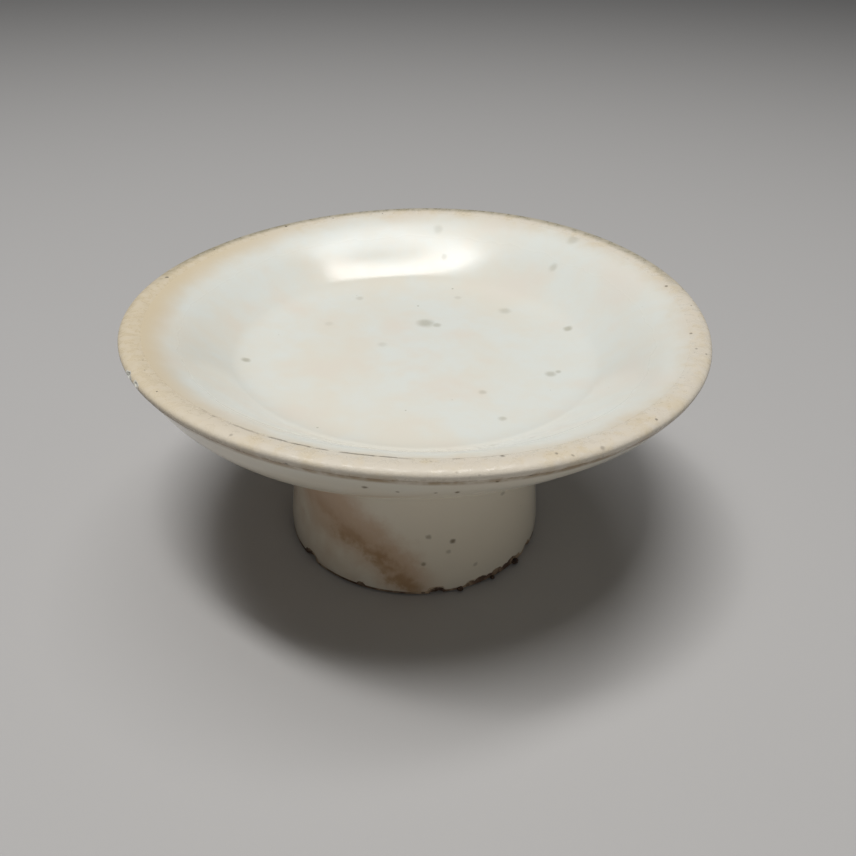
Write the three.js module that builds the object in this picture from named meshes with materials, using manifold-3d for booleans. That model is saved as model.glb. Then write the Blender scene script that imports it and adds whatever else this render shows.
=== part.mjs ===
// A white porcelain stem dish: a shallow wheel-thrown dish luted with slip to a tall hollow
// foot, glazed all over except for its worn lip and the bearing edge of its foot.
//
// Millimetres, +Z up. The origin is the centre of the bearing edge, on the surface that the
// dish stands on, and +Z is the axis that it was thrown on. -Y is the front.
//
// Every round piece is a lathe of a profile of [radius, height] points. Fused neighbours share
// the same profile points, so that they touch face to face without a gap or an overlap.

import * as THREE from "three";
import { mergeVertices } from "three/addons/utils/BufferGeometryUtils.js";
import Module from "manifold-3d";

// ---------------------------------------------------------------- driving dimensions

const rimRadius = 70; // outermost radius of the lip
const dishHeight = 20.3; // flat seat under the dish to the top of its lip
const lipThickness = 5.2; // across the rounded lip
const lipDrop = 2.3; // from the top of the lip to where its outer rounding ends

const footHeight = 43.9; // table to the flat seat under the dish
const footBaseRadius = 34.1; // outside of the foot at the table
const footTopRadius = 31.7; // outside of the foot where it meets the dish
const footWaistRadius = 31.6; // slimmest outside radius of the foot
const footWall = 6; // thickness of the foot's wall
const footBevel = 0.6; // worn bevel on both edges of the bearing face

const floorThickness = 5.4; // clay at the middle of the dish
const kneeInset = 18.8; // from the lip's inner edge in to where the wall levels out
const kneeHeight = 2.5; // and how far above the floor that is
const kneeSlope = 30; // steepness of the inner wall there, in degrees
const shoulderSlope = 23; // and just inside the lip
const slipThickness = 0.6; // slip between the foot and the dish
const outerFillet = 2.6; // slip smoothed into the corner outside the foot
const innerFillet = 1.8; // and in the corner inside its hollow

const glazeThickness = 0.4; // glaze over the clay
const glazeEdge = 0.15; // glaze where it thins out at a bare edge
const bareFoot = 1.2; // unglazed height above the table, outside the foot
const bareWell = 4; // and inside its hollow

const grainSize = 1.3; // radius of the crumbs of kiln grit
const roundSegments = 48; // facets round the axis
const curveSteps = 7; // straight steps in each long curve of a profile
const cornerSteps = 3; // and in each short one

// The dish warped in the kiln, so its lip waves up and down, and its underside was trimmed
// unevenly halfway up the wall. Each wave is [lobes round the dish, cosine share, sine share].
const lipWaves = [
  [1, 0.17, 0.15],
  [2, -0.47, 1.02],
];
const trimWave = [2, 0, -1.8];
const trimTop = 2.4; // height above the seat, by the foot, that the trimming reaches into
const trimRise = 0.33; // and how much higher it reaches for each millimetre further out
const trimFade = 2.5; // height over which it dies out

// Chips out of the foot's outer edge: the angle round the axis in degrees, with -90 at the
// front, the radius, and how far the middle of the chip is outside the foot's edge.
const chips = [
  { angle: -79, radius: 2.4, outside: 1.1 },
  { angle: -141, radius: 3.2, outside: 1.6 },
  { angle: -27, radius: 2.6, outside: 1.3 },
];
const glazeFlake = 1.25; // the glaze flaked off over a wider patch than the clay under it
const lumpRoughness = 0.1; // how uneven the chips and crumbs are, as a share of their radius

// Crumbs of kiln grit fused to the bare edge of the foot.
const grains = [
  { name: "kiln_grit_front", angle: -69, size: 1 },
  { name: "kiln_grit_middle", angle: -53, size: 0.8 },
  { name: "kiln_grit_right", angle: -39, size: 1.2 },
];

// ---------------------------------------------------------------- profiles

const seatHeight = footHeight;
const footTop = seatHeight - slipThickness;
const seatOuterRadius = footTopRadius + outerFillet;
const wellTopRadius = footTopRadius - footWall;
const wellBaseRadius = footBaseRadius - footWall;
const seatInnerRadius = wellTopRadius - innerFillet;
const rimHeight = seatHeight + dishHeight;
const floorHeight = seatHeight + floorThickness;
const lipInnerRadius = rimRadius - lipThickness;
const kneeRadius = lipInnerRadius - kneeInset;
const wallSpan = rimRadius - seatOuterRadius;
const wallHeight = dishHeight - lipDrop;

const point = (r, z) => new THREE.Vector2(r, z);

/** Points along a cubic curve, both ends included. */
function bend(start, pull1, pull2, end, steps) {
  return new THREE.CubicBezierCurve(start, pull1, pull2, end).getPoints(steps);
}

/** The worn outer wall of the dish, from the slip's fillet up to the lip. */
function dishWall() {
  return bend(
    point(seatOuterRadius, seatHeight),
    point(seatOuterRadius + wallSpan * 0.46, seatHeight + wallHeight * 0.2),
    point(rimRadius - wallSpan * 0.33, seatHeight + wallHeight * 0.06),
    point(rimRadius - lipThickness * 0.1, rimHeight - lipDrop),
    curveSteps,
  );
}

/** The rounded bare lip, from its outer side over the top to its inner edge. */
function lip() {
  return [
    ...bend(
      point(rimRadius - lipThickness * 0.1, rimHeight - lipDrop),
      point(rimRadius + lipThickness * 0.04, rimHeight - lipDrop * 0.5),
      point(rimRadius + lipThickness * 0.02, rimHeight - lipDrop * 0.06),
      point(rimRadius - lipThickness * 0.4, rimHeight),
      cornerSteps,
    ),
    ...bend(
      point(rimRadius - lipThickness * 0.4, rimHeight),
      point(rimRadius - lipThickness * 0.6, rimHeight),
      point(rimRadius - lipThickness * 0.8, rimHeight - lipDrop * 0.08),
      point(lipInnerRadius, rimHeight - lipDrop * 0.22),
      cornerSteps - 1,
    ).slice(1),
  ];
}

/** A point lower down and nearer the axis, a distance along a slope in degrees. */
function downhill(from, slope, distance) {
  const tilt = THREE.MathUtils.degToRad(slope);
  return point(from.x - distance * Math.cos(tilt), from.y - distance * Math.sin(tilt));
}

/** The inside of the dish, from the lip down over a shoulder and a knee to its flat middle. */
function dishInside() {
  const edge = point(lipInnerRadius, rimHeight - lipDrop * 0.22);
  const knee = point(kneeRadius, floorHeight + kneeHeight);
  const reach = kneeInset * 0.42;
  return chain(
    bend(
      edge,
      downhill(edge, shoulderSlope, reach),
      downhill(knee, kneeSlope, -reach),
      knee,
      curveSteps - 1,
    ),
    bend(
      knee,
      downhill(knee, kneeSlope, reach * 0.62),
      point(kneeRadius * 0.74, floorHeight),
      point(0, floorHeight),
      curveSteps - 1,
    ),
  );
}

/** The outside of the foot, from the top of its bevel up to where the slip covers it. */
function footWallOutside() {
  return bend(
    point(footBaseRadius, footBevel),
    point(footBaseRadius - 1, footHeight * 0.2),
    point(footWaistRadius, footHeight * 0.5),
    point(footTopRadius, footTop - outerFillet),
    cornerSteps + 2,
  );
}

/** The inside of the foot's hollow, from the top of its bevel up to where the slip covers it. */
function footWallInside() {
  return bend(
    point(wellBaseRadius, footBevel),
    point(wellBaseRadius - 0.8, footHeight * 0.25),
    point(wellTopRadius, footHeight * 0.55),
    point(wellTopRadius, footTop - innerFillet),
    cornerSteps,
  );
}

/** The concave fillet of slip outside the foot, from the foot's wall up to the dish. */
function filletOutside() {
  return bend(
    point(footTopRadius, footTop - outerFillet),
    point(footTopRadius, footTop - outerFillet * 0.3),
    point(footTopRadius + outerFillet * 0.35, seatHeight),
    point(seatOuterRadius, seatHeight),
    cornerSteps,
  );
}

/** The concave fillet of slip in the hollow, from the foot's wall up to the dish. */
function filletInside() {
  return bend(
    point(wellTopRadius, footTop - innerFillet),
    point(wellTopRadius, footTop - innerFillet * 0.3),
    point(wellTopRadius - innerFillet * 0.35, seatHeight),
    point(seatInnerRadius, seatHeight),
    cornerSteps,
  );
}

/** A chain of curves as one, without the points that two of them share. */
function chain(...curves) {
  return curves.reduce((all, next) => [...all, ...next.slice(1)]);
}

/** The part of a curve above a height, with a new end point at that height. */
function above(curve, height) {
  const first = curve.findIndex((p) => p.y > height);
  const low = curve[first - 1];
  const high = curve[first];
  const cut = low.clone().lerp(high, (height - low.y) / (high.y - low.y));
  return [cut, ...curve.slice(first)];
}

/** The same chain moved sideways by the glaze's thickness, thinner at its bare ends. */
function coat(curve, side, thinStart, thinEnd) {
  return curve.map((p, i) => {
    const before = curve[Math.max(i - 1, 0)];
    const after = curve[Math.min(i + 1, curve.length - 1)];
    const along = after.clone().sub(before).normalize();
    const thin = (i === 0 && thinStart) || (i === curve.length - 1 && thinEnd);
    const thickness = thin ? glazeEdge : glazeThickness;
    const moved = point(p.x - side * along.y * thickness, p.y + side * along.x * thickness);
    if (p.x === 0) moved.set(0, p.y + side * Math.sign(along.x) * thickness);
    return moved;
  });
}

// ---------------------------------------------------------------- solids

const wasm = await Module();
wasm.setup();

/** How far a point of the fired dish is above where it was thrown. */
function warp(radius, angle, height) {
  const share = Math.max(0, (radius - seatOuterRadius) / wallSpan);
  const wave = ([lobes, cosine, sine]) =>
    cosine * Math.cos(lobes * angle) + sine * Math.sin(lobes * angle);
  const lipMove = lipWaves.reduce((sum, one) => sum + wave(one), 0);
  const trimEnd = seatHeight + trimTop + trimFade / 2 + trimRise * (radius - seatOuterRadius);
  const trimmed = THREE.MathUtils.smoothstep(trimEnd - height, 0, trimFade);
  const halfway = Math.max(0, 4 * share * (1 - share));
  return share * share * lipMove + halfway * trimmed * wave(trimWave);
}

/**
 * The triangles of a lathe. Each four-sided facet is split from its corner nearest the axis, so
 * that a coat and the clay under it match when they warp, whichever way each one was drawn.
 */
function facets(outline) {
  const triangles = [];
  for (let turn = 0; turn < roundSegments; turn++) {
    for (let step = 0; step < outline.length - 1; step++) {
      const a = turn * outline.length + step;
      const b = a + outline.length;
      const outward = outline[step].x < outline[step + 1].x;
      triangles.push(...(outward ? [a, b, b + 1, a, b + 1, a + 1] : [a, b, a + 1, b + 1, a + 1, b]));
    }
  }
  return triangles;
}

/** A profile turned round +Z. It closes on itself unless it starts and ends on the axis. */
function turned(profile) {
  const onAxis = profile[0].x === 0 && profile.at(-1).x === 0;
  const outline = onAxis ? profile : [...profile, profile[0].clone()];
  const geometry = new THREE.LatheGeometry(outline, roundSegments);
  geometry.setIndex(facets(outline));
  geometry.rotateX(Math.PI / 2);
  const spot = geometry.getAttribute("position");
  for (let i = 0; i < spot.count; i++) {
    const x = spot.getX(i);
    const y = spot.getY(i);
    const z = spot.getZ(i);
    spot.setZ(i, z + warp(Math.hypot(x, y), Math.atan2(y, x), z));
  }
  geometry.deleteAttribute("normal");
  geometry.deleteAttribute("uv");
  return mergeVertices(geometry, 1e-4);
}

/** A geometry as a manifold-3d solid. */
function solid(geometry) {
  return new wasm.Manifold(
    new wasm.Mesh({
      numProp: 3,
      vertProperties: geometry.getAttribute("position").array,
      triVerts: new Uint32Array(geometry.index.array),
    }),
  );
}

/** A manifold-3d solid as a geometry. */
function geometryOf(made) {
  const mesh = made.getMesh();
  const geometry = new THREE.BufferGeometry();
  geometry.setAttribute("position", new THREE.BufferAttribute(mesh.vertProperties, 3));
  geometry.setIndex(new THREE.BufferAttribute(mesh.triVerts, 1));
  geometry.computeVertexNormals();
  return geometry;
}

/** A rough lump with facets like broken clay, the same each time. */
function lump(radius, centre, flatness) {
  const geometry = new THREE.IcosahedronGeometry(radius, 1);
  geometry.deleteAttribute("normal");
  geometry.deleteAttribute("uv");
  const merged = mergeVertices(geometry, 1e-4);
  const spot = merged.getAttribute("position");
  for (let i = 0; i < spot.count; i++) {
    const rough = 1 + lumpRoughness * Math.sin(7 * i + centre.x) * Math.cos(3 * i);
    spot.setXYZ(
      i,
      spot.getX(i) * rough + centre.x,
      spot.getY(i) * rough + centre.y,
      spot.getZ(i) * rough * flatness + centre.z,
    );
  }
  return solid(merged);
}

/** A place at an angle in degrees round the axis. */
function place(angle, radius, height) {
  const turn = THREE.MathUtils.degToRad(angle);
  return new THREE.Vector3(radius * Math.cos(turn), radius * Math.sin(turn), height);
}

/** All chips as lumps to cut away, each grown by a share. */
function chipLumps(grown) {
  return chips.map((chip) =>
    lump(chip.radius * grown, place(chip.angle, footBaseRadius + chip.outside, 0), 0.9),
  );
}

const cutAway = (body, lumps) => lumps.reduce((left, one) => left.subtract(one), body);

// ---------------------------------------------------------------- materials

const clay = new THREE.MeshStandardMaterial({ color: 0xcdb795, roughness: 0.55 });
const bareClay = new THREE.MeshStandardMaterial({ color: 0x9c8469, roughness: 0.85 });
const slipClay = new THREE.MeshStandardMaterial({ color: 0xd6cdbb, roughness: 0.8 });
const glaze = new THREE.MeshStandardMaterial({ color: 0xdcdcd0, roughness: 0.12 });
const grit = new THREE.MeshStandardMaterial({ color: 0x4d3826, roughness: 0.95 });

function piece(name, geometry, material) {
  const mesh = new THREE.Mesh(geometry, material);
  mesh.name = name;
  return mesh;
}

// ---------------------------------------------------------------- pieces

/** The thrown dish: flat seat, wall, lip and inside in one clay body. */
function dishBody() {
  const profile = chain(
    [point(0, seatHeight), point(seatInnerRadius, seatHeight), point(seatOuterRadius, seatHeight)],
    dishWall(),
    lip(),
    dishInside(),
  );
  return piece("dish_body", turned(profile), clay);
}

/** The foot: a separately thrown ring, hollow and open at both ends. */
function footRing() {
  const inside = [...footWallInside(), point(wellTopRadius, footTop)].reverse();
  const outside = [...footWallOutside(), point(footTopRadius, footTop)];
  const bearing = [
    point(wellBaseRadius + footBevel, 0),
    point(footBaseRadius - footBevel, 0),
  ];
  const whole = solid(turned([...bearing, ...outside, ...inside]));
  return piece("foot_ring", geometryOf(cutAway(whole, chipLumps(1))), bareClay);
}

/** The slip that joins the foot to the dish, squeezed out and smoothed into both corners. */
function lutingSlip() {
  const profile = [
    point(wellTopRadius, footTop),
    point(footTopRadius, footTop),
    ...filletOutside(),
    ...filletInside().reverse(),
  ];
  return piece("luting_slip", turned(profile), slipClay);
}

/** The glaze inside the dish, up to the bare lip. */
function insideGlaze() {
  const under = dishInside();
  const top = coat(under, -1, true, false);
  return piece("inside_glaze", turned([...top.reverse(), ...under].reverse()), glaze);
}

/** The glaze outside, one coat from under the lip over the slip and down the foot. */
function outsideGlaze() {
  const under = chain(above(footWallOutside(), bareFoot), filletOutside(), dishWall());
  const top = coat(under, -1, true, true);
  const whole = solid(turned([...top, ...under.reverse()]));
  return piece("outside_glaze", geometryOf(cutAway(whole, chipLumps(glazeFlake))), glaze);
}

/** The glaze in the hollow of the foot, over its wall, the slip and the dish's underside. */
function wellGlaze() {
  const under = chain(above(footWallInside(), bareWell), filletInside(), [
    point(seatInnerRadius, seatHeight),
    point(0, seatHeight),
  ]);
  const top = coat(under, 1, true, false);
  return piece("well_glaze", turned([...under, ...top.reverse()]), glaze);
}

/** The foot with its glaze, whole and filled, for what is seated on its outside. */
function filledFoot() {
  const wall = footWallOutside();
  const glazed = above(wall, bareFoot);
  const bottom = [point(0, 0), point(footBaseRadius - footBevel, 0), wall[0], glazed[0]];
  return solid(turned([...bottom, ...coat(glazed, -1, true, false), point(0, footTop)]));
}

/** A crumb of kiln grit, seated on the bare edge of the foot. */
function gritCrumb({ name, angle, size }, foot) {
  const radius = grainSize * size;
  const middle = place(angle, footBaseRadius + radius * 0.1, radius * 0.85);
  return piece(name, geometryOf(lump(radius, middle, 0.7).subtract(foot)), grit);
}

// ---------------------------------------------------------------- assembly

const gritSeat = filledFoot();

const stemDish = new THREE.Group();
stemDish.add(
  dishBody(),
  footRing(),
  lutingSlip(),
  insideGlaze(),
  outsideGlaze(),
  wellGlaze(),
  ...grains.map((grain) => gritCrumb(grain, gritSeat)),
);

export default stemDish;
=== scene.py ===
# %% [markdown]
# # A white porcelain dish on a tall foot
#
# This lesson builds a small wheel-thrown dish: a shallow bowl of white porcelain on a high
# hollow foot, under a clear glaze that has worn off its lip. It is one hard lump in the hand,
# but a potter makes it from two thrown parts, joins them with slip, glazes three separate
# surfaces and fires it on sand. Each of those is a piece here.
#
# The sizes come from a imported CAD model, the frame. Nothing in the frame is moved. Each fine
# piece below stands for the plain CAD node that lies in the same place.

# %% Load the frame
import math

import bpy
from mathutils import Matrix, Vector


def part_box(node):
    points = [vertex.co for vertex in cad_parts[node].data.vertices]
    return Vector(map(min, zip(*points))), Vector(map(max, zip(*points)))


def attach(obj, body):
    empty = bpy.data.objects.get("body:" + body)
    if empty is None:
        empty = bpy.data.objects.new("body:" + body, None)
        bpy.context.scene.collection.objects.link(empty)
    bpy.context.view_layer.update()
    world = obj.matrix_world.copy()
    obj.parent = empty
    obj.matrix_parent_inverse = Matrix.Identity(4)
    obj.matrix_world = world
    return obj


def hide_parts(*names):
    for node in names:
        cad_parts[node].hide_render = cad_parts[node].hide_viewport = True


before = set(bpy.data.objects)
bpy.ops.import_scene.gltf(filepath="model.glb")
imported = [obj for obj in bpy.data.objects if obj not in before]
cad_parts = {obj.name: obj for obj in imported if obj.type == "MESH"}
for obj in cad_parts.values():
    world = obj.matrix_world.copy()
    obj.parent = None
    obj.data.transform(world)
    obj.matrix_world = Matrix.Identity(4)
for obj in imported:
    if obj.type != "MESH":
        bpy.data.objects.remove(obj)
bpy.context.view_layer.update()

print("CAD nodes:", sorted(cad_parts))

# %% [markdown]
# ## The sizes
#
# Lathe work is drawn as half a section, so almost every size is a radius or a height. The
# boxes of the CAD nodes give most of them: the dish's box gives the lip's radius and the seat,
# the inside coat's box gives the radius where that coat ends, and so on. What a box can't give,
# such as the thickness of the floor or of a wall, is a named value in millimetres.

# %% Sizes read from the frame
MM = 0.001

dish_low, dish_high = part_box("dish_body")
foot_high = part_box("foot_ring")[1]
slip_low, slip_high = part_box("luting_slip")
inside_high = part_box("inside_glaze")[1]
outside_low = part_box("outside_glaze")[0]

LIP_RADIUS = dish_high.x
SEAT = dish_low.z
LIP_INNER = inside_high.x
FOOT_RADIUS = foot_high.x
FOOT_TOP = foot_high.z
FILLET_BOTTOM = slip_low.z
FILLET_RADIUS = slip_high.x
BARE_FOOT = outside_low.z
print(f"lip radius {LIP_RADIUS / MM:.1f} mm, seat {SEAT / MM:.1f} mm, foot {FOOT_RADIUS / MM:.1f} mm")

# %% Sizes that no box gives
DISH_TALL = 20.3 * MM
FLOOR_THICK = 5.4 * MM
LIP_DROP = 2.3 * MM
FOOT_NECK = 31.7 * MM
FOOT_WAIST = 31.6 * MM
FOOT_WALL = 6 * MM
FOOT_BEVEL = 0.6 * MM
INNER_FILLET = 1.8 * MM
BARE_WELL = 4 * MM
GLAZE = 0.4 * MM
GLAZE_EDGE = 0.04 * MM
SINK = 0.02 * MM
KNEE_INSET = 18.8 * MM
KNEE_HEIGHT = 2.5 * MM
KNEE_SLOPE = math.radians(30)
SHOULDER_SLOPE = math.radians(23)

LIP_TOP = SEAT + DISH_TALL
CLAY_FLOOR = SEAT + FLOOR_THICK
LIP_WIDE = LIP_RADIUS - LIP_INNER
WALL_SPAN = LIP_RADIUS - FILLET_RADIUS
WALL_RISE = DISH_TALL - LIP_DROP
WELL_RADIUS = FOOT_NECK - FOOT_WALL

# %% [markdown]
# ## Drawing a section
#
# A potter's rib gives smooth curves, so each stretch of a section is one cubic curve with two
# pulls. The helper below returns points along it. Another moves a stretch sideways by the
# thickness of a coat of glaze, thinner at its ends, where the glaze was wiped or worn away.

# %% Helpers for the section
THIN_OVER = 5


def bend(start, pull_a, pull_b, end, steps):
    """Points along a cubic curve from start to end, both included."""
    points = []
    for i in range(steps + 1):
        t = i / steps
        s = 1 - t
        shares = (s ** 3, 3 * s * s * t, 3 * s * t * t, t ** 3)
        r = sum(k * p[0] for k, p in zip(shares, (start, pull_a, pull_b, end)))
        z = sum(k * p[1] for k, p in zip(shares, (start, pull_a, pull_b, end)))
        points.append((r, z))
    return points


def chain(*curves):
    """One curve out of several that meet end to end."""
    joined = list(curves[0])
    for curve in curves[1:]:
        joined += curve[1:]
    return joined


def above(curve, height):
    """The part of a rising curve above a height, starting exactly there."""
    for i in range(1, len(curve)):
        (r0, z0), (r1, z1) = curve[i - 1], curve[i]
        if z0 <= height < z1:
            share = (height - z0) / (z1 - z0)
            return [(r0 + (r1 - r0) * share, height)] + curve[i:]
    return curve


def beside(curve, side, thickness, thin_start=False, thin_end=False):
    """The curve moved sideways, tapering over a few points at the ends that ask for it."""
    moved = []
    last = len(curve) - 1
    for i, (r, z) in enumerate(curve):
        (r0, z0), (r1, z1) = curve[max(i - 1, 0)], curve[min(i + 1, last)]
        length = math.hypot(r1 - r0, z1 - z0)
        share = 1.0
        if thin_start:
            share = min(share, i / THIN_OVER)
        if thin_end:
            share = min(share, (last - i) / THIN_OVER)
        size = thickness
        if share < 1:
            size = GLAZE_EDGE + (thickness - GLAZE_EDGE) * math.sin(share * math.pi / 2)
        dr = -side * (z1 - z0) / length * size
        dz = side * (r1 - r0) / length * size
        moved.append((0.0 if r == 0 else r + dr, z + dz))
    return moved

# %% [markdown]
# ## The stretches of the section
#
# Clay and glaze share their stretches, so they fit each other. The wall under the dish leaves
# the lip steeply and flattens towards the foot. The inside has a soft roll behind the lip, a
# steeper slope and a gentle knee into the floor, so a long lamp overhead shows on the far wall
# as a bright bar.

# %% The dish's stretches
LIP_SIDE = (LIP_RADIUS - LIP_WIDE * 0.08, LIP_TOP - LIP_DROP)
LIP_CREST = (LIP_RADIUS - LIP_WIDE * 0.4, LIP_TOP)
LIP_EDGE = (LIP_INNER, LIP_TOP - LIP_DROP * 0.22)
KNEE = (LIP_INNER - KNEE_INSET, CLAY_FLOOR + KNEE_HEIGHT)


def dish_wall(steps=26):
    return bend(
        (FILLET_RADIUS, SEAT),
        (FILLET_RADIUS + WALL_SPAN * 0.46, SEAT + WALL_RISE * 0.2),
        (LIP_RADIUS - WALL_SPAN * 0.33, SEAT + WALL_RISE * 0.06),
        LIP_SIDE, steps)


def lip(steps=13):
    outer = bend(
        LIP_SIDE,
        (LIP_RADIUS + LIP_WIDE * 0.06, LIP_TOP - LIP_DROP * 0.5),
        (LIP_RADIUS + LIP_WIDE * 0.04, LIP_TOP - LIP_DROP * 0.06),
        LIP_CREST, steps)
    inner = bend(
        LIP_CREST,
        (LIP_RADIUS - LIP_WIDE * 0.6, LIP_TOP),
        (LIP_RADIUS - LIP_WIDE * 0.8, LIP_TOP - LIP_DROP * 0.08),
        LIP_EDGE, steps - 4)
    return chain(outer, inner)


def downhill(start, slope, distance):
    """A point lower down and nearer the axis, a distance along a slope."""
    return (start[0] - distance * math.cos(slope), start[1] - distance * math.sin(slope))


def dish_inside(steps=24):
    reach = KNEE_INSET * 0.42
    shoulder = bend(
        LIP_EDGE, downhill(LIP_EDGE, SHOULDER_SLOPE, reach), downhill(KNEE, KNEE_SLOPE, -reach),
        KNEE, steps)
    floor = bend(
        KNEE, downhill(KNEE, KNEE_SLOPE, reach * 0.62), (KNEE[0] * 0.74, CLAY_FLOOR),
        (0, CLAY_FLOOR), steps)
    return chain(shoulder, floor)

# %% The foot's stretches
def foot_outside(steps=24):
    return bend(
        (FOOT_RADIUS, FOOT_BEVEL),
        (FOOT_RADIUS - 1 * MM, SEAT * 0.2),
        (FOOT_WAIST, SEAT * 0.5),
        (FOOT_NECK, FILLET_BOTTOM), steps)


def foot_inside(steps=20):
    top = FOOT_TOP - INNER_FILLET
    return bend(
        (FOOT_RADIUS - FOOT_WALL, FOOT_BEVEL),
        (FOOT_RADIUS - FOOT_WALL - 0.8 * MM, SEAT * 0.25),
        (WELL_RADIUS, SEAT * 0.55),
        (WELL_RADIUS, top), steps)


def fillet(neck, seat_radius, bottom, steps=8):
    """A hollow corner from the foot's wall at its bottom to the flat seat at its top."""
    return bend(
        (neck, bottom),
        (neck, bottom + (FOOT_TOP - bottom) * 0.7),
        (neck + (seat_radius - neck) * 0.35, SEAT),
        (seat_radius, SEAT), steps)


outer_corner = fillet(FOOT_NECK, FILLET_RADIUS, FILLET_BOTTOM)
inner_corner = fillet(WELL_RADIUS, WELL_RADIUS - INNER_FILLET, FOOT_TOP - INNER_FILLET)

# %% [markdown]
# ## Throwing a piece
#
# A section becomes a solid by turning it round the axis, which is what the wheel does. In
# Blender that is: start from a primitive, merge it to one vertex, extrude that vertex from
# point to point along the section, and spin the chain through a full turn. The seam and the
# points on the axis are then merged and the normals made to point outwards. A Screw modifier
# could do the turning too, but the operators leave a plain mesh that later steps can cut.

# %% The wheel
TURN_STEPS = 320


def select_only(piece):
    bpy.ops.object.select_all(action="DESELECT")
    piece.select_set(True)
    bpy.context.view_layer.objects.active = piece


def throw(name, section, steps=TURN_STEPS):
    """A solid of revolution. The section closes on itself unless both its ends are on the axis."""
    bpy.ops.object.select_all(action="DESELECT")
    bpy.ops.mesh.primitive_plane_add(size=MM)
    piece = bpy.context.object
    piece.name = name
    piece.data.name = name
    bpy.ops.object.mode_set(mode="EDIT")
    bpy.ops.mesh.select_all(action="SELECT")
    bpy.ops.mesh.merge(type="CENTER")
    r, z = section[0]
    bpy.ops.transform.translate(value=(r, 0, z))
    closes = not (section[0][0] == 0 and section[-1][0] == 0)
    for next_r, next_z in section[1:] + section[:1] * closes:
        step = (next_r - r, 0, next_z - z)
        bpy.ops.mesh.extrude_region_move(TRANSFORM_OT_translate={"value": step})
        r, z = next_r, next_z
    bpy.ops.mesh.select_all(action="SELECT")
    bpy.ops.mesh.remove_doubles(threshold=0.002 * MM)
    bpy.ops.mesh.spin(steps=steps, angle=math.tau, center=(0, 0, 0), axis=(0, 0, 1))
    bpy.ops.mesh.select_all(action="SELECT")
    bpy.ops.mesh.remove_doubles(threshold=0.002 * MM)
    bpy.ops.mesh.normals_make_consistent(inside=False)
    bpy.ops.object.mode_set(mode="OBJECT")
    bpy.ops.object.shade_smooth_by_angle(angle=math.radians(50))
    print(f"{name}: {len(piece.data.polygons)} faces")
    return piece

# %% [markdown]
# ## The clay
#
# The dish is thrown upside up with a thick floor, and its seat is cut flat. The foot is a
# plain ring with a worn bevel on the edge that it stands on. The slip is what was squeezed
# out when the two were pressed together, smoothed into both corners with a fingertip.

# %% Throw the dish, the foot and the slip
dish = throw("fired_dish", chain([(0, SEAT), (FILLET_RADIUS, SEAT)], dish_wall(), lip(),
                                 dish_inside()))

foot_section = (
    [(FOOT_RADIUS - FOOT_WALL + FOOT_BEVEL, 0), (FOOT_RADIUS - FOOT_BEVEL, 0)]
    + foot_outside() + [(FOOT_NECK, FOOT_TOP), (WELL_RADIUS, FOOT_TOP)]
    + foot_inside()[::-1])
foot = throw("fired_foot", foot_section)

slip = throw("joining_slip", [(WELL_RADIUS, FOOT_TOP), (FOOT_NECK, FOOT_TOP)]
             + outer_corner + inner_corner[::-1], steps=240)

# %% [markdown]
# ## The glaze
#
# Glaze is a skin of glass with its own two faces. It is drawn as the stretch of clay that it
# covers, out along the glazed face and back just under the clay's face. There are three of
# them, because the bare lip and the bare edge of the foot part them. Each skin thins to almost
# nothing where it ends, so the shine runs on over the worn lip.

# %% Dip the three coats
def coat(name, stretch, side, thin_start, thin_end, steps=TURN_STEPS):
    face = beside(stretch, side, GLAZE, thin_start, thin_end)
    back = beside(stretch, -side, SINK)
    return throw(name, back[::-1] + face, steps)


inside = coat("glaze_inside", dish_inside(), -1, True, False)
outside = coat("glaze_outside",
               chain(above(foot_outside(), BARE_FOOT), outer_corner, dish_wall()),
               -1, True, True)
well = coat("glaze_in_foot",
            chain(above(foot_inside(), BARE_WELL), inner_corner, [inner_corner[-1], (0, SEAT)]),
            1, True, False, steps=300)

thrown_pieces = [dish, foot, slip, inside, outside, well]

# %% [markdown]
# ## Patterns remember the wheel
#
# The kiln warps the dish, and its stains and coats should warp with it. So before anything
# moves, each point notes where it was thrown, in an attribute. The materials read that note
# where a stain follows the section, and Object coordinates for everything else.

# %% Note each point's place on the wheel
def note_place(piece):
    places = piece.data.attributes.new("on_the_wheel", "FLOAT_VECTOR", "POINT")
    flat = [0.0] * (3 * len(piece.data.vertices))
    piece.data.vertices.foreach_get("co", flat)
    places.data.foreach_set("vector", flat)


for piece in thrown_pieces:
    note_place(piece)

# %% [markdown]
# ## Warping in the kiln
#
# The lip rises and falls by about a millimetre. The underside was trimmed unevenly on the
# wheel as well, by nearly two millimetres halfway up the wall, and the inside wasn't. Painting
# a weight on each point and moving it by a Displace modifier is the tool for both: one modifier
# lifts, a second one sinks, and both are applied. The lobes are those of the CAD model, so the
# fine pieces stay in its box.

# %% Lift and sink by painted weights
LIP_LOBES = ((1, 0.17 * MM, 0.15 * MM), (2, -0.47 * MM, 1.02 * MM))
TRIM_LOBE = (2, 0.0, -1.8 * MM)
TRIM_TOP = 2.4 * MM
TRIM_RISE = 0.33
TRIM_FADE = 2.5 * MM
MOST_LIFT = 3 * MM


def lobe(angle, count, cosine, sine):
    return cosine * math.cos(count * angle) + sine * math.sin(count * angle)


def warp_at(point):
    """How far a point of the dish is above where it was thrown, in metres."""
    out = max(0.0, math.hypot(point.x, point.y) - FILLET_RADIUS)
    share = out / WALL_SPAN
    angle = math.atan2(point.y, point.x)
    at_lip = sum(lobe(angle, *one) for one in LIP_LOBES)
    trim_end = SEAT + TRIM_TOP + TRIM_FADE / 2 + TRIM_RISE * out
    depth = min(1.0, max(0.0, (trim_end - point.z) / TRIM_FADE))
    trimmed = depth * depth * (3 - 2 * depth)
    halfway = max(0.0, 4 * share * (1 - share))
    return share * share * at_lip + halfway * trimmed * lobe(angle, *TRIM_LOBE)


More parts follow.
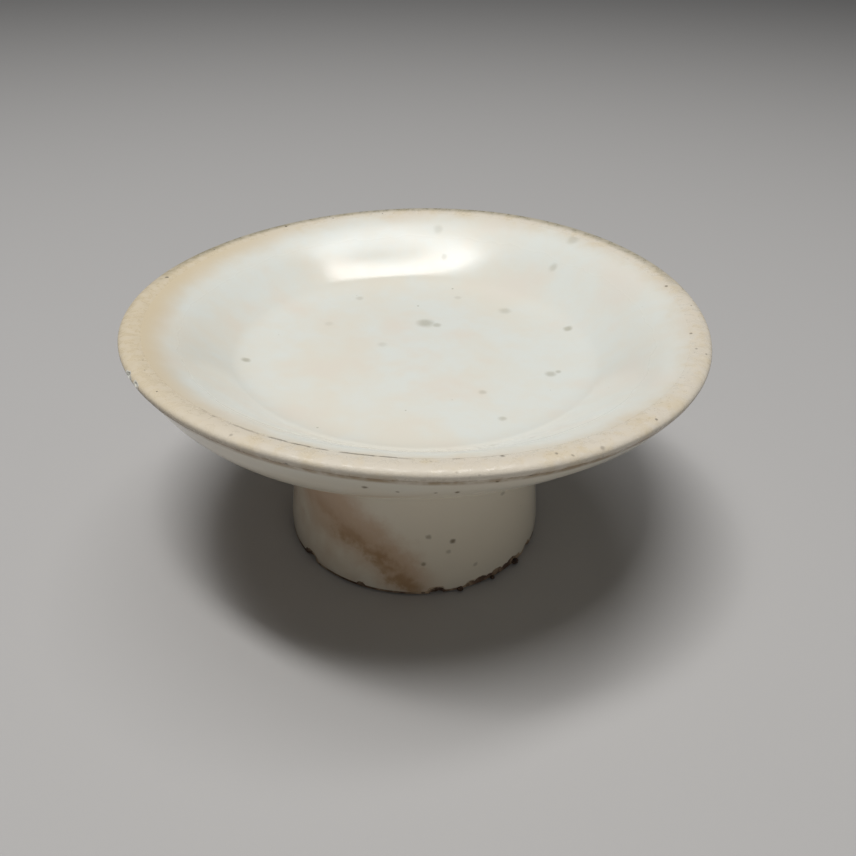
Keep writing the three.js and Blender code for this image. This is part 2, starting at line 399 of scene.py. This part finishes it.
def displace(piece, group, strength, texture=None, direction="Z"):
    """Moves a piece's points by a vertex group's weights, and keeps the result."""
    select_only(piece)
    push = piece.modifiers.new("push", "DISPLACE")
    push.vertex_group = group
    push.direction = direction
    push.strength = strength
    push.mid_level = 0.0
    if texture:
        push.texture = texture
        push.texture_coords = "LOCAL"
        push.mid_level = 0.5
    bpy.ops.object.modifier_apply(modifier=push.name)


def fire(piece):
    raised = piece.vertex_groups.new(name="raised")
    sunk = piece.vertex_groups.new(name="sunk")
    for vertex in piece.data.vertices:
        move = warp_at(vertex.co)
        group = raised if move > 0 else sunk
        group.add([vertex.index], abs(move) / MOST_LIFT, "REPLACE")
    displace(piece, "raised", MOST_LIFT)
    displace(piece, "sunk", -MOST_LIFT)


for piece in (dish, inside, outside):
    fire(piece)
print("warped the dish, its inside coat and its outside coat")

# %% [markdown]
# ## The unevenness of a hand
#
# Nothing thrown is quite round. A soft cloud texture moves every point by a few hundredths of
# a millimetre, enough to unsettle the reflections a little. Its three colours move X, Y and Z,
# so a coat and the clay under it, which see the same cloud at the same place, move together.
# The weights fade to nothing at the table, so that the foot still stands flat.

# %% A soft wobble
WOBBLE = 0.1 * MM
WOBBLE_SIZE = 34 * MM
SETTLED = 8 * MM

cloud = bpy.data.textures.new("hand_wobble", "CLOUDS")
cloud.cloud_type = "COLOR"
cloud.noise_scale = WOBBLE_SIZE
cloud.noise_depth = 1

for piece in thrown_pieces:
    free = piece.vertex_groups.new(name="free")
    for vertex in piece.data.vertices:
        share = min(1.0, max(0.0, vertex.co.z / SETTLED))
        free.add([vertex.index], share * share * (3 - 2 * share), "REPLACE")
    displace(piece, "free", WOBBLE, cloud, "RGB_TO_XYZ")
print(f"wobbled {len(thrown_pieces)} pieces by up to {WOBBLE / MM / 2:.2f} mm")

# %% [markdown]
# ## Chips and nicks
#
# The foot has lost three flakes from its outer edge, where it was set down hard, and the glaze
# broke off a little wider than the clay. A broken edge is crisp, so it is cut with a Boolean
# and not pressed in: a small rough stone is subtracted from the clay, and a slightly bigger
# one from the glaze. At the front right more glaze flaked off than clay, so a row of stones
# eats into the glaze's edge alone. Two small nicks are in the lip, at the front left.

# %% A rough stone
ROUND_LEVELS = 4

grain = bpy.data.textures.new("broken_grain", "CLOUDS")
grain.noise_scale = 0.9 * MM
grain.noise_depth = 2


def stone(name, centre, radius, flatness, roughness=0.35):
    """A rough pebble, with its origin moved to the frame's origin."""
    bpy.ops.object.select_all(action="DESELECT")
    bpy.ops.mesh.primitive_ico_sphere_add(subdivisions=ROUND_LEVELS, radius=radius,
                                          location=centre)
    pebble = bpy.context.object
    pebble.name = name
    pebble.data.name = name
    bpy.ops.object.mode_set(mode="EDIT")
    bpy.ops.mesh.select_all(action="SELECT")
    bpy.ops.transform.resize(value=(1, 1, flatness))
    bpy.ops.object.mode_set(mode="OBJECT")
    bpy.ops.object.transform_apply(location=True, rotation=True, scale=True)
    rough = pebble.modifiers.new("rough", "DISPLACE")
    rough.texture = grain
    rough.texture_coords = "LOCAL"
    rough.strength = radius * roughness
    bpy.ops.object.modifier_apply(modifier=rough.name)
    return pebble

# %% [markdown]
# A stone that cuts clay notes its places on the wheel as well, because the faces it leaves
# behind take that note over, and the colours on them read it.

# %% Cut the flakes out
FOOT_CHIPS = ((-79, 2.4 * MM, 1.1 * MM), (-141, 3.2 * MM, 1.6 * MM), (-27, 2.6 * MM, 1.3 * MM))
LIP_NICKS = ((-148, 1.2 * MM), (-144, 0.9 * MM))
GLAZE_ONLY = ((-64, 1.7 * MM), (-59, 2.1 * MM), (-54.5, 1.6 * MM), (-50, 2.3 * MM), (-45, 1.8 * MM),
              (-40.5, 2.4 * MM), (-36, 1.7 * MM), (-112, 1.4 * MM))
GLAZE_WIDER = 1.25
FLAKE_FLATNESS = 0.9


def around(angle, radius, height):
    turn = math.radians(angle)
    return Vector((radius * math.cos(turn), radius * math.sin(turn), height))


def knock_off(piece, centre, radius):
    """Breaks one flake off a piece."""
    tool = stone("flake", centre, radius, FLAKE_FLATNESS)
    note_place(tool)
    select_only(piece)
    cut = piece.modifiers.new("chip", "BOOLEAN")
    cut.operation = "DIFFERENCE"
    cut.solver = "EXACT"
    cut.object = tool
    bpy.ops.object.modifier_apply(modifier=cut.name)
    bpy.data.objects.remove(tool)


for angle, radius, outward in FOOT_CHIPS:
    centre = around(angle, FOOT_RADIUS + outward, 0)
    knock_off(foot, centre, radius)
    knock_off(outside, centre, radius * GLAZE_WIDER)
for angle, radius in GLAZE_ONLY:
    knock_off(outside, around(angle, FOOT_RADIUS + 0.3 * MM, 0.8 * MM), radius)
for angle, radius in LIP_NICKS:
    spot = around(angle, LIP_RADIUS + radius * 0.5, 0)
    spot.z = LIP_TOP - LIP_DROP * 0.35 + warp_at(spot)
    knock_off(dish, spot, radius)
print(f"cut {len(FOOT_CHIPS)} flakes from the foot and {len(LIP_NICKS)} nicks from the lip")

# %% [markdown]
# ## Kiln grit
#
# The dish stood on coarse sand in the kiln, and three crumbs of it stuck to the edge of the
# foot. Each is a pebble of its own, roughened by a fine cloud texture, in the place that its
# CAD node gives.

# %% Stick on three crumbs
CRUMB_SIZE = 0.21
CRUMB_FLATNESS = 0.6
CRUMB_ROUGHNESS = 1.2

crumbs = {}
for node in ("kiln_grit_front", "kiln_grit_middle", "kiln_grit_right"):
    low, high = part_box(node)
    size = high - low
    middle = (low + high) / 2 - Vector((0, 0, size.z * 0.12))
    crumb = stone(node + "_crumb", middle, size.length * CRUMB_SIZE, CRUMB_FLATNESS,
                  CRUMB_ROUGHNESS)
    bpy.ops.object.shade_smooth_by_angle(angle=math.radians(30))
    crumbs[node] = crumb
print("crumbs:", [crumb.name for crumb in crumbs.values()])

# %% [markdown]
# ## Mixing paints out of nodes
#
# Every finish here is procedural: colour, gloss and relief come from noise and from the
# place of a point on the dish. A node tree is easier to read as a recipe, so a small class
# keeps one material and adds a node with each call. Each call returns the new node's output,
# ready to pour into the next one.

# %% A short hand for node recipes
def tone(red, green, blue):
    """A screen colour from 0 to 255 as the linear colour that a shader takes."""
    def linear(value):
        share = value / 255
        return share / 12.92 if share <= 0.04045 else ((share + 0.055) / 1.055) ** 2.4
    return (linear(red), linear(green), linear(blue), 1.0)


class Recipe:
    """One material, and the nodes that it is mixed from."""

    def __init__(self, name):
        self.material = bpy.data.materials.new(name)
        self.material.use_nodes = True
        self.tree = self.material.node_tree
        self.shader = self.tree.nodes["Principled BSDF"]
        self.here = self.add("ShaderNodeTexCoord").outputs["Object"]
        wheel = self.add("ShaderNodeAttribute")
        wheel.attribute_name = "on_the_wheel"
        self.wheel = wheel.outputs["Vector"]

    def add(self, kind):
        return self.tree.nodes.new(kind)

    def pour(self, value, socket):
        """Sets a socket to a value, or joins another node's output to it."""
        if isinstance(value, bpy.types.NodeSocket):
            self.tree.links.new(value, socket)
        else:
            socket.default_value = value

    def sum(self, operation, first, second=0.0):
        made = self.add("ShaderNodeMath")
        made.operation = operation
        self.pour(first, made.inputs[0])
        self.pour(second, made.inputs[1])
        return made.outputs[0]

    def vector(self, operation, first, second=(0.0, 0.0, 0.0), output="Vector"):
        made = self.add("ShaderNodeVectorMath")
        made.operation = operation
        self.pour(first, made.inputs[0])
        self.pour(second, made.inputs[1])
        return made.outputs[output]

    def noise(self, size, detail=2.0, roughness=0.5, output=0):
        """Soft noise with blotches about one size across, from 0 to 1."""
        made = self.add("ShaderNodeTexNoise")
        self.pour(self.here, made.inputs["Vector"])
        made.inputs["Scale"].default_value = 1 / size
        made.inputs["Detail"].default_value = detail
        made.inputs["Roughness"].default_value = roughness
        return made.outputs[output]

    def fade(self, value, low, high):
        """0 at low, 1 at high and smooth between them; high may be the smaller one."""
        made = self.add("ShaderNodeMapRange")
        made.interpolation_type = "SMOOTHSTEP"
        self.pour(value, made.inputs["Value"])
        self.pour(low, made.inputs["From Min"])
        self.pour(high, made.inputs["From Max"])
        return made.outputs["Result"]

    def both(self, first, second):
        return self.sum("MULTIPLY", first, second)

    def most(self, first, second):
        return self.sum("MAXIMUM", first, second)

    def mix(self, share, first, second):
        """The first colour where share is 0, and the second where it is 1."""
        made = self.add("ShaderNodeMix")
        made.data_type = "RGBA"
        self.pour(share, made.inputs[0])
        self.pour(first, made.inputs[6])  # a Mix node's colours are its sockets 6 and 7
        self.pour(second, made.inputs[7])
        return made.outputs[2]

    def relief(self, height, depth):
        """A bump of that depth in metres where height is 1, on top of earlier ones."""
        made = self.add("ShaderNodeBump")
        made.inputs["Strength"].default_value = 1.0
        made.inputs["Distance"].default_value = depth
        self.pour(height, made.inputs["Height"])
        before = self.shader.inputs["Normal"].links
        if before:
            self.pour(before[0].from_socket, made.inputs["Normal"])
        self.pour(made.outputs["Normal"], self.shader.inputs["Normal"])

    def finish(self, colour, roughness):
        self.pour(colour, self.shader.inputs["Base Color"])
        self.pour(roughness, self.shader.inputs["Roughness"])
        return self.material

# %% [markdown]
# ## Where on the dish
#
# Stains follow the section: the lip is honey-coloured, the foot is browner on its left, and so
# on. These measures turn the note of each point's place on the wheel into a distance from the
# axis and a height, and freckles are soft round spots at places listed to the millimetre.

# %% Measures of a point's place
RAGGED = 0.7 * MM


def from_axis(m):
    flat = m.vector("MULTIPLY", m.wheel, (1.0, 1.0, 0.0))
    return m.vector("LENGTH", flat, output="Value")


def axes_of(m, vector):
    split = m.add("ShaderNodeSeparateXYZ")
    m.pour(vector, split.inputs[0])
    return split.outputs


def freckles(m, spots, plane):
    """1 on spots given in millimetres as (across, along, radius, strength), seen along an axis."""
    shake = m.vector("SUBTRACT", m.noise(1.6 * MM, 2, output="Color"), (0.5, 0.5, 0.5))
    shaken = m.vector("ADD", m.wheel, m.vector("MULTIPLY", shake, (RAGGED,) * 3))
    flat = m.vector("MULTIPLY", shaken, (1.0, 1.0, 0.0) if plane == "floor" else (1.0, 0.0, 1.0))
    mask = 0.0
    for across, along, radius, strength in spots:
        middle = (across * MM, along * MM, 0.0)
        if plane == "front":
            middle = (across * MM, 0.0, along * MM)
        gap = m.vector("DISTANCE", flat, middle, output="Value")
        spot = m.both(m.fade(gap, radius * 1.4 * MM, radius * 0.3 * MM), strength)
        mask = m.most(mask, spot)
    return mask


def pinholes(m, spacing, size, share):
    """1 in tiny round holes, about one to each spacing, of which only a share are kept."""
    cells = m.add("ShaderNodeTexVoronoi")
    m.pour(m.here, cells.inputs["Vector"])
    cells.inputs["Scale"].default_value = 1 / spacing
    pick = axes_of(m, cells.outputs["Color"])
    radius = m.both(pick[0], size / spacing)
    inside_hole = m.sum("LESS_THAN", cells.outputs["Distance"], radius)
    return m.both(inside_hole, m.sum("GREATER_THAN", pick[1], 1 - share))

# %% [markdown]
# ## The white of the body
#
# Porcelain under clear glaze isn't one white. It is faintly blue where the glaze is thick, and
# cream where a little iron came through, in soft clouds a few centimetres across. Both whites
# are kept in one function, so that the coats and the clay agree where they meet.

# %% White porcelain
COOL_WHITE = tone(220, 222, 215)
CREAM_WHITE = tone(222, 217, 203)
PINK_WHITE = tone(223, 213, 201)
LIP_CREAM = tone(211, 201, 184)
HONEY = tone(205, 184, 140)
# honey-brown, partly a stain and partly painted shade under the lip's outer edge
DARK_HONEY_AND_SHADE = tone(146, 122, 88)
# painted shade on the far side of the lip
OLIVE_SHADE = tone(138, 132, 110)


def white(m):
    clouds = m.fade(m.noise(30 * MM, 4, 0.6), 0.38, 0.62)
    mottle = m.both(m.fade(m.noise(6 * MM, 3, 0.6), 0.35, 0.70), 0.4)
    blush = m.both(m.fade(m.noise(15 * MM, 3), 0.50, 0.75), 0.4)
    right = m.fade(axes_of(m, m.wheel)[0], 5 * MM, 50 * MM)
    clouds = m.both(clouds, m.sum("SUBTRACT", 1.0, m.both(right, 0.6)))
    body = m.mix(clouds, COOL_WHITE, CREAM_WHITE)
    body = m.mix(mottle, body, CREAM_WHITE)
    return m.mix(blush, body, PINK_WHITE)

# %% [markdown]
# The lip's colour is built up in layers, like a watercolour: a cream wash that starts where the
# glaze thins, and honey on top in patches and all along the left, where it is partly painted
# shade and reflection on the inner wall. A darker line under the lip's outer edge is partly a
# honey-brown stain and partly painted shade where the lip turns under, and a greyish olive band
# along the back is painted shade on the far side of the lip.

# %% The stained lip
def lip_stain_and_shade(m, colour):
    """Stains the lip and the glaze near it, furthest in at the left, and paints shade under the lip's
    outer edge and along its back.
    """
    side = axes_of(m, m.wheel)
    out = from_axis(m)
    left = m.fade(side[0], -20 * MM, -66 * MM)
    drift = m.both(m.sum("SUBTRACT", m.noise(11 * MM, 3), 0.5), 5 * MM)
    reach = m.sum("ADD", m.sum("ADD", out, m.both(left, 3 * MM)), drift)
    high = m.fade(side[2], LIP_TOP - LIP_DROP - 1.8 * MM, LIP_TOP - LIP_DROP - 0.4 * MM)
    wash = m.both(m.fade(reach, LIP_INNER - 5 * MM, LIP_INNER + 3 * MM), high)
    colour = m.mix(m.both(wash, 0.92), colour, LIP_CREAM)
    patchy = m.fade(m.noise(5 * MM, 4, 0.65), 0.42, 0.68)
    # honey in patches, and all along the left, where it is partly a stain and partly painted shade
    # and reflection on the inner wall
    colour = m.mix(m.both(wash, m.most(m.both(patchy, 0.38), m.both(left, 0.50))), colour, HONEY)
    # a darker line under the lip's outer edge: partly a honey-brown stain, partly painted shade where
    # the lip turns under
    below = m.sum("ABSOLUTE", m.sum("SUBTRACT", side[2], LIP_TOP - LIP_DROP - 0.3 * MM))
    under_lip_stain_and_shade = m.both(m.fade(out, LIP_RADIUS - 2.6 * MM, LIP_RADIUS - 0.9 * MM),
                 m.fade(below, 1.5 * MM, 0.2 * MM))
    settled = m.fade(m.noise(5 * MM, 3, 0.6), 0.25, 0.60)
    colour = m.mix(m.both(m.both(under_lip_stain_and_shade, settled), 0.75), colour, DARK_HONEY_AND_SHADE)
    # painted shade: the back of the lip turns greyish olive
    back = m.both(m.fade(side[1], 0, 40 * MM), m.fade(out, LIP_INNER + 1 * MM, LIP_INNER + 3 * MM))
    return m.mix(m.both(back, 0.75), colour, OLIVE_SHADE)

# %% [markdown]
# ## Dirt and painted shade at the edge of the glaze
#
# At the front left the inside coat ends in a fine crack-like line just behind the lip, dark
# partly with old dirt and partly with painted shade where the lip's inner edge hides the wall
# behind it. It is a narrow band at one distance from the axis, broken up by noise and fading out
# to both sides, painted on the coat and on the lip alike.

# %% The dark line behind the lip
LINE_MIDDLE = math.radians(-104)
# dark dirt in pinholes, and also painted shade in the line behind the lip
SOOT_AND_SHADE = tone(88, 76, 60)


def dark_line(m, colour):
    wander = m.both(m.sum("SUBTRACT", m.noise(7 * MM, 3), 0.5), 1.6 * MM)
    off = m.sum("ABSOLUTE", m.sum("SUBTRACT", m.sum("ADD", from_axis(m), wander),
                                  LIP_INNER + 0.3 * MM))
    thin = m.fade(off, 0.42 * MM, 0.12 * MM)
    towards = (math.cos(LINE_MIDDLE), math.sin(LINE_MIDDLE), 0.0)
    facing = m.vector("DOT_PRODUCT", m.vector("NORMALIZE", m.wheel), towards, output="Value")
    stretch = m.fade(facing, 0.60, 0.75)
    broken = m.fade(m.noise(3.5 * MM, 3), 0.42, 0.55)
    # dirt and painted shade along the lip's inner edge at the front
    return m.mix(m.both(m.both(thin, m.both(stretch, broken)), 0.9), colour, SOOT_AND_SHADE)

# %% [markdown]
# ## Three coats of one glaze
#
# All three coats are glossy, with a skin that is very slightly uneven, like the peel of an
# orange seen from far away. The inside coat has soft grey-green freckles of iron, and is
# duller towards the lip, where cloths and hands rubbed it. The coat inside the foot is dusty.

# %% What the coats share
FRECKLE = tone(148, 142, 118)
RUST = tone(112, 98, 74)
GLASS_IOR = 1.5


def skin(m):
    """Gloss and relief that all three coats share. Returns the roughness."""
    m.shader.inputs["IOR"].default_value = GLASS_IOR
    m.relief(m.noise(12 * MM, 2), 0.06 * MM)
    m.relief(m.noise(1.1 * MM, 2), 0.006 * MM)
    return m.sum("ADD", 0.10, m.both(m.noise(9 * MM, 3), 0.10))

# %% The inside coat
FLOOR_FRECKLES = (
    (2, 19, 2.4, 0.45), (5, 18, 1.3, 0.38), (24, 27, 1.7, 0.30), (40, 15, 1.2, 0.50),
    (33, -8, 1.4, 0.40), (35, -7, 0.8, 0.40), (38, 39, 1.2, 0.30), (-42, -6, 1.1, 0.50),
    (5, 59, 1.4, 0.25), (7, 51, 0.9, 0.35), (16, -17, 1.0, 0.30), (20, -29, 1.0, 0.35),
    (25, -43, 0.8, 0.40), (17, -43, 1.0, 0.35), (5, -47, 1.4, 0.35), (44, 46, 1.8, 0.30),
    (-17, 33, 1.1, 0.25), (-9, 6, 1.3, 0.18), (-24, 17, 1.2, 0.15), (11, 35, 1.0, 0.20))


def inside_finish():
    m = Recipe("clear_glaze_inside")
    colour = dark_line(m, lip_stain_and_shade(m, white(m)))
    colour = m.mix(freckles(m, FLOOR_FRECKLES, "floor"), colour, FRECKLE)
    holes = m.both(pinholes(m, 5 * MM, 0.35 * MM, 0.3), 0.5)
    colour = m.mix(holes, colour, FRECKLE)
    worn = m.both(m.fade(from_axis(m), 50 * MM, 64 * MM), 0.24)
    return m.finish(colour, m.sum("ADD", skin(m), worn))

# %% [markdown]
# The outside coat is warmer than the inside, and warmer still towards the bottom. A stain as wide
# as a finger runs down its front left at a slant. It is a broad soft band with a narrower and
# darker one inside it, both pushed about by noise.

# %% The outside coat
WARM_WHITE = tone(222, 211, 189)
TEA = tone(196, 167, 138)
DARK_TEA = tone(160, 126, 88)
FOOT_FRECKLES = (
    (10, 16, 0.7, 0.8), (4, 18, 0.7, 0.5), (9, 13, 0.7, 0.35), (3, 10, 0.6, 0.6),
    (22, 25, 0.6, 0.4), (9, 57, 0.5, 0.9), (5, 57, 0.4, 0.7), (-8, 58, 0.6, 0.8),
    (16, 61, 0.4, 0.8), (22, 62, 0.5, 0.9), (16, 7, 0.6, 0.35), (-2, 57, 0.4, 0.6))


def slanting(m, middle, wide, narrow):
    """1 along a slanting band on the front left of the foot."""
    side = axes_of(m, m.wheel)
    slant = m.sum("ADD", m.both(side[0], 0.62), m.both(side[2], 0.784))
    ragged = m.both(m.sum("SUBTRACT", m.noise(9 * MM, 5, 0.7), 0.5), 13 * MM)
    off = m.sum("ABSOLUTE", m.sum("SUBTRACT", m.sum("ADD", slant, ragged), middle))
    left = m.fade(side[0], 10 * MM, -1 * MM)
    front = m.fade(side[1], -2 * MM, -10 * MM)
    return m.both(m.fade(off, wide, narrow), m.both(left, front))


def outside_finish():
    m = Recipe("clear_glaze_outside")
    side = axes_of(m, m.wheel)
    low = m.fade(side[2], LIP_TOP, SEAT + 4 * MM)
    colour = m.mix(m.sum("ADD", 0.45, m.both(low, 0.4)), white(m), WARM_WHITE)
    colour = lip_stain_and_shade(m, colour)
    left = m.fade(side[0], 2 * MM, -26 * MM)
    clouds = m.fade(m.noise(12 * MM, 3), 0.30, 0.65)
    blush = m.both(m.both(left, clouds), m.fade(side[2], 40 * MM, 24 * MM))
    colour = m.mix(m.both(blush, 0.6), colour, TEA)
    colour = m.mix(m.both(slanting(m, 4.5 * MM, 10 * MM, 2 * MM), 0.9), colour, TEA)
    dark = m.both(slanting(m, 2.8 * MM, 4.2 * MM, 0.2 * MM), m.fade(side[2], 26 * MM, 10 * MM))
    dark = m.both(dark, m.fade(m.noise(5 * MM, 4, 0.6), 0.25, 0.55))
    colour = m.mix(m.both(dark, 0.8), colour, DARK_TEA)
    front = m.fade(side[1], 0.0, -6 * MM)
    colour = m.mix(m.both(freckles(m, FOOT_FRECKLES, "front"), front), colour, RUST)
    holes = m.both(pinholes(m, 6 * MM, 0.45 * MM, 0.3), 0.7)
    colour = m.mix(holes, colour, SOOT_AND_SHADE)
    return m.finish(colour, skin(m))

# %% The coat inside the foot
def well_finish():
    m = Recipe("clear_glaze_in_foot")
    dust = m.fade(m.noise(12 * MM, 4, 0.6), 0.4, 0.7)
    colour = m.mix(m.both(dust, 0.5), white(m), TEA)
    holes = m.both(pinholes(m, 4 * MM, 0.5 * MM, 0.5), 0.8)
    colour = m.mix(holes, colour, SOOT_AND_SHADE)
    return m.finish(colour, m.sum("ADD", skin(m), m.both(dust, 0.25)))

# %% [markdown]
# ## Bare clay
#
# The lip's glaze is worn through by use, so it is honey-coloured and full of pinholes, but
# years of hands have polished it. The edge that the foot stands on was never glazed. It is
# rough and burnt brown, and its broken flakes show the same clay. The slip is hidden inside.

# %% The clays and the grit
BURNT = tone(84, 62, 46)
BISCUIT = tone(176, 152, 124)
EMBER = tone(46, 34, 26)
LIP_FRECKLES = ((17, -63, 0.5, 0.8), (27, -62, 0.4, 0.9), (36, -59, 0.5, 0.8),
                (30, -62, 0.3, 0.8), (-33, -60, 0.4, 0.7), (4, -66, 0.3, 0.6))


def lip_finish():
    m = Recipe("worn_lip")
    colour = dark_line(m, lip_stain_and_shade(m, white(m)))
    holes = m.most(pinholes(m, 2.2 * MM, 0.34 * MM, 0.6), pinholes(m, 5 * MM, 0.6 * MM, 0.35))
    holes = m.both(holes, m.fade(m.noise(12 * MM, 2), 0.40, 0.58))
    spots = m.most(holes, freckles(m, LIP_FRECKLES, "floor"))
    colour = m.mix(m.both(spots, 0.75), colour, SOOT_AND_SHADE)
    worn = m.fade(m.noise(2.2 * MM, 4, 0.65), 0.40, 0.62)
    colour = m.mix(m.both(worn, 0.35), colour, LIP_CREAM)
    m.shader.inputs["IOR"].default_value = GLASS_IOR
    m.relief(m.noise(6 * MM, 3), 0.22 * MM)
    m.relief(m.noise(1.3 * MM, 4, 0.65), 0.14 * MM)
    m.relief(m.sum("SUBTRACT", 1.0, holes), 0.10 * MM)
    return m.finish(colour, m.sum("ADD", 0.22, m.both(worn, 0.30)))


def foot_finish():
    m = Recipe("bare_foot_clay")
    scorch = m.fade(m.noise(7 * MM, 4, 0.6), 0.35, 0.60)
    colour = m.mix(scorch, BISCUIT, BURNT)
    sand = pinholes(m, 1.6 * MM, 0.6 * MM, 0.5)
    colour = m.mix(m.both(sand, 0.6), colour, EMBER)
    m.relief(m.noise(1.2 * MM, 4, 0.7), 0.25 * MM)
    m.relief(sand, 0.1 * MM)
    return m.finish(colour, 0.85)


def slip_finish():
    m = Recipe("dried_slip")
    colour = m.mix(m.noise(5 * MM, 3), CREAM_WHITE, PINK_WHITE)
    m.relief(m.noise(2 * MM, 3), 0.1 * MM)
    return m.finish(colour, 0.8)


def grit_finish():
    m = Recipe("kiln_grit")
    colour = m.mix(m.fade(m.noise(0.8 * MM, 3), 0.35, 0.65), EMBER, BURNT)
    m.relief(m.noise(0.5 * MM, 3), 0.1 * MM)
    return m.finish(colour, 0.6)

# %% [markdown]
# ## Hand the pieces over
#
# Each piece gets its finish, rides on the frame's one body and stands for its CAD node.

# %% Finish, ride, replace
def hand_over(piece, material, node):
    piece.data.materials.clear()
    piece.data.materials.append(material)
    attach(piece, "root")
    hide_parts(node)


hand_over(dish, lip_finish(), "dish_body")
hand_over(foot, foot_finish(), "foot_ring")
hand_over(slip, slip_finish(), "luting_slip")
hand_over(inside, inside_finish(), "inside_glaze")
hand_over(outside, outside_finish(), "outside_glaze")
hand_over(well, well_finish(), "well_glaze")
grit = grit_finish()
for node, crumb in crumbs.items():
    hand_over(crumb, grit, node)
print("handed over", len(thrown_pieces) + len(crumbs), "pieces")

# %% [markdown]
# ## The table and the light
#
# The table is plain and pale. Most of the light falls from a softbox above and a little in
# front, which throws the dish's shadow round its foot. It is hidden from glossy surfaces, so
# that the far wall shows only the long narrow lamp right overhead, as a bar of light. A dim
# one, low and in front, reaches the foot under the dish.

# %% The table
TABLE_SIZE = 6.0

bpy.ops.object.select_all(action="DESELECT")
bpy.ops.mesh.primitive_plane_add(size=TABLE_SIZE)
table = bpy.context.object
table.name = "table"
plain = Recipe("pale_table")
table.data.materials.append(plain.finish(tone(180, 178, 176), 0.9))
print(f"table {TABLE_SIZE:.0f} m across")

# %% The lights
def softbox(name, place, size, watts):
    """A rectangular lamp, as wide and as deep as size says, turned to the dish."""
    bpy.ops.object.light_add(type="AREA", location=place)
    lamp = bpy.context.object
    lamp.name = name
    lamp.data.shape = "RECTANGLE"
    lamp.data.size, lamp.data.size_y = size
    lamp.data.energy = watts
    lamp.rotation_euler = (Vector((0, 0, SEAT)) - Vector(place)).to_track_quat("-Z", "Y").to_euler()
    return lamp


main = softbox("main_softbox", (-0.14, -0.20, 1.28), (0.60, 0.14), 10.0)
main.visible_glossy = False
softbox("long_softbox", (-0.03, 0.062, 1.0), (0.78, 0.155), 3.5)
softbox("low_softbox", (0.5, -1.1, 0.3), (0.9, 0.4), 1.1)

room = bpy.data.worlds.new("room")
room.use_nodes = True
room.node_tree.nodes["Background"].inputs["Color"].default_value = (0.95, 0.97, 1.0, 1.0)
room.node_tree.nodes["Background"].inputs["Strength"].default_value = 0.08
bpy.context.scene.world = room
bpy.context.scene.view_settings.view_transform = "Standard"
print("three softboxes and a dim room")

# %% [markdown]
# ## The camera
#
# A phone held close, a little above the dish and looking down into it, with its wide lens. The
# horizon leans by one degree. Depth of field stays off.

# %% The camera
CAMERA_PLACE = Vector((3.3, -191.1, 153.2)) * MM
LOOK_DOWN = math.radians(33.2)
LEAN = math.radians(1.3)
FOCAL_LENGTH = 36
SENSOR_WIDTH = 36

lens = bpy.data.cameras.new("camera")
lens.lens = FOCAL_LENGTH
lens.sensor_width = SENSOR_WIDTH
lens.clip_start = 0.01
camera = bpy.data.objects.new("camera", lens)
bpy.context.scene.collection.objects.link(camera)
tilt = Matrix.Rotation(math.pi / 2 - LOOK_DOWN, 4, "X") @ Matrix.Rotation(LEAN, 4, "Z")
camera.matrix_world = Matrix.Translation(CAMERA_PLACE) @ tilt
bpy.context.scene.camera = camera
print(f"camera {CAMERA_PLACE.length / MM:.0f} mm from the middle of the foot's edge")
